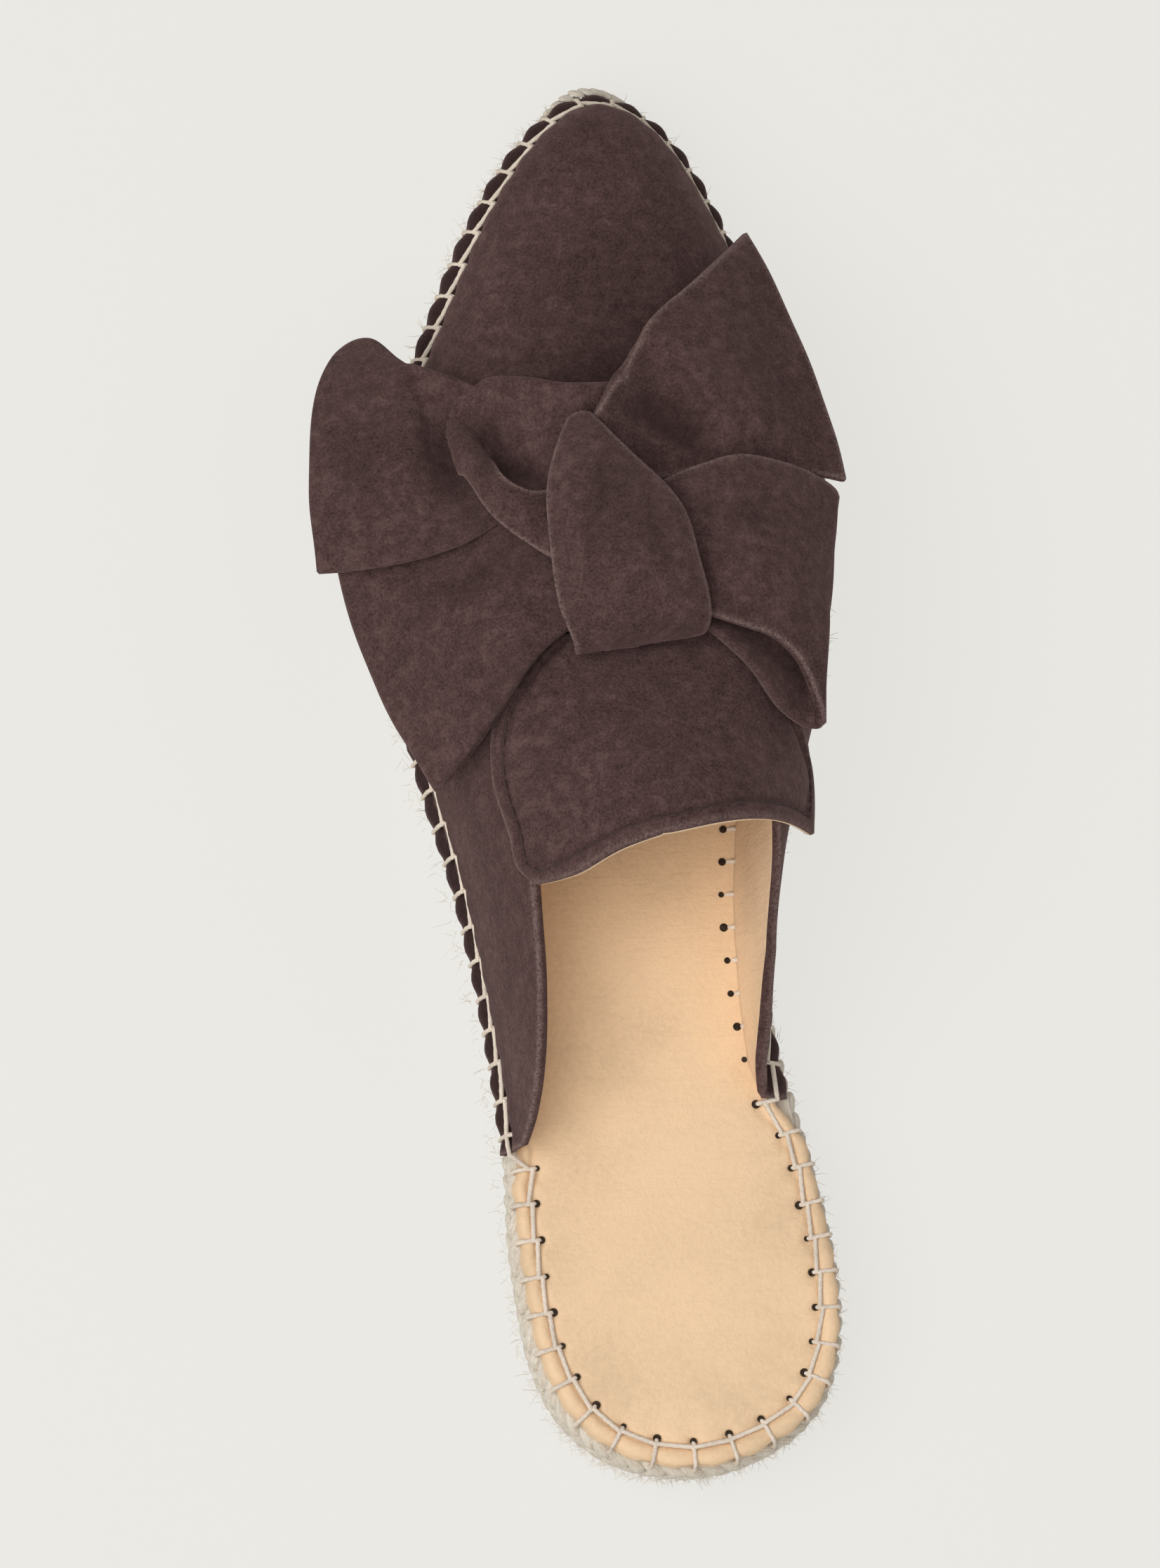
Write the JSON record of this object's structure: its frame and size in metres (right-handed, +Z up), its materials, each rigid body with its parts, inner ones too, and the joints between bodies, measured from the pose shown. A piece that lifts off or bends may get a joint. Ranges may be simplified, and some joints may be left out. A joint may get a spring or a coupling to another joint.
{
  "type": "babouche",
  "caption": "Backless pointed slipper for the left foot: rope sole, leather insole, hollow suede upper open behind, throat tab and a knotted bow on the vamp.",
  "frame": {"origin": "middle of the footprint box, on the floor that the sole stands on", "axes": "+Y from heel to toe, +X to the medial side, +Z up"},
  "size_m": [0.1012, 0.258, 0.0756],
  "materials": {
    "jute_rope": "coarse plaited plant fibre",
    "pale_leather": "smooth undyed leather",
    "brown_suede": "brushed nap suede"
  },
  "bodies": {
    "root": {"rope_sole": "jute_rope", "insole": "pale_leather", "upper": "brown_suede", "tongue": "brown_suede", "bow_loop_left": "brown_suede", "bow_loop_right": "brown_suede", "bow_tail_left": "brown_suede", "bow_tail_right": "brown_suede", "bow_knot_wrap": "brown_suede", "bow_knot_tab": "brown_suede"}
  },
  "joints": []
}
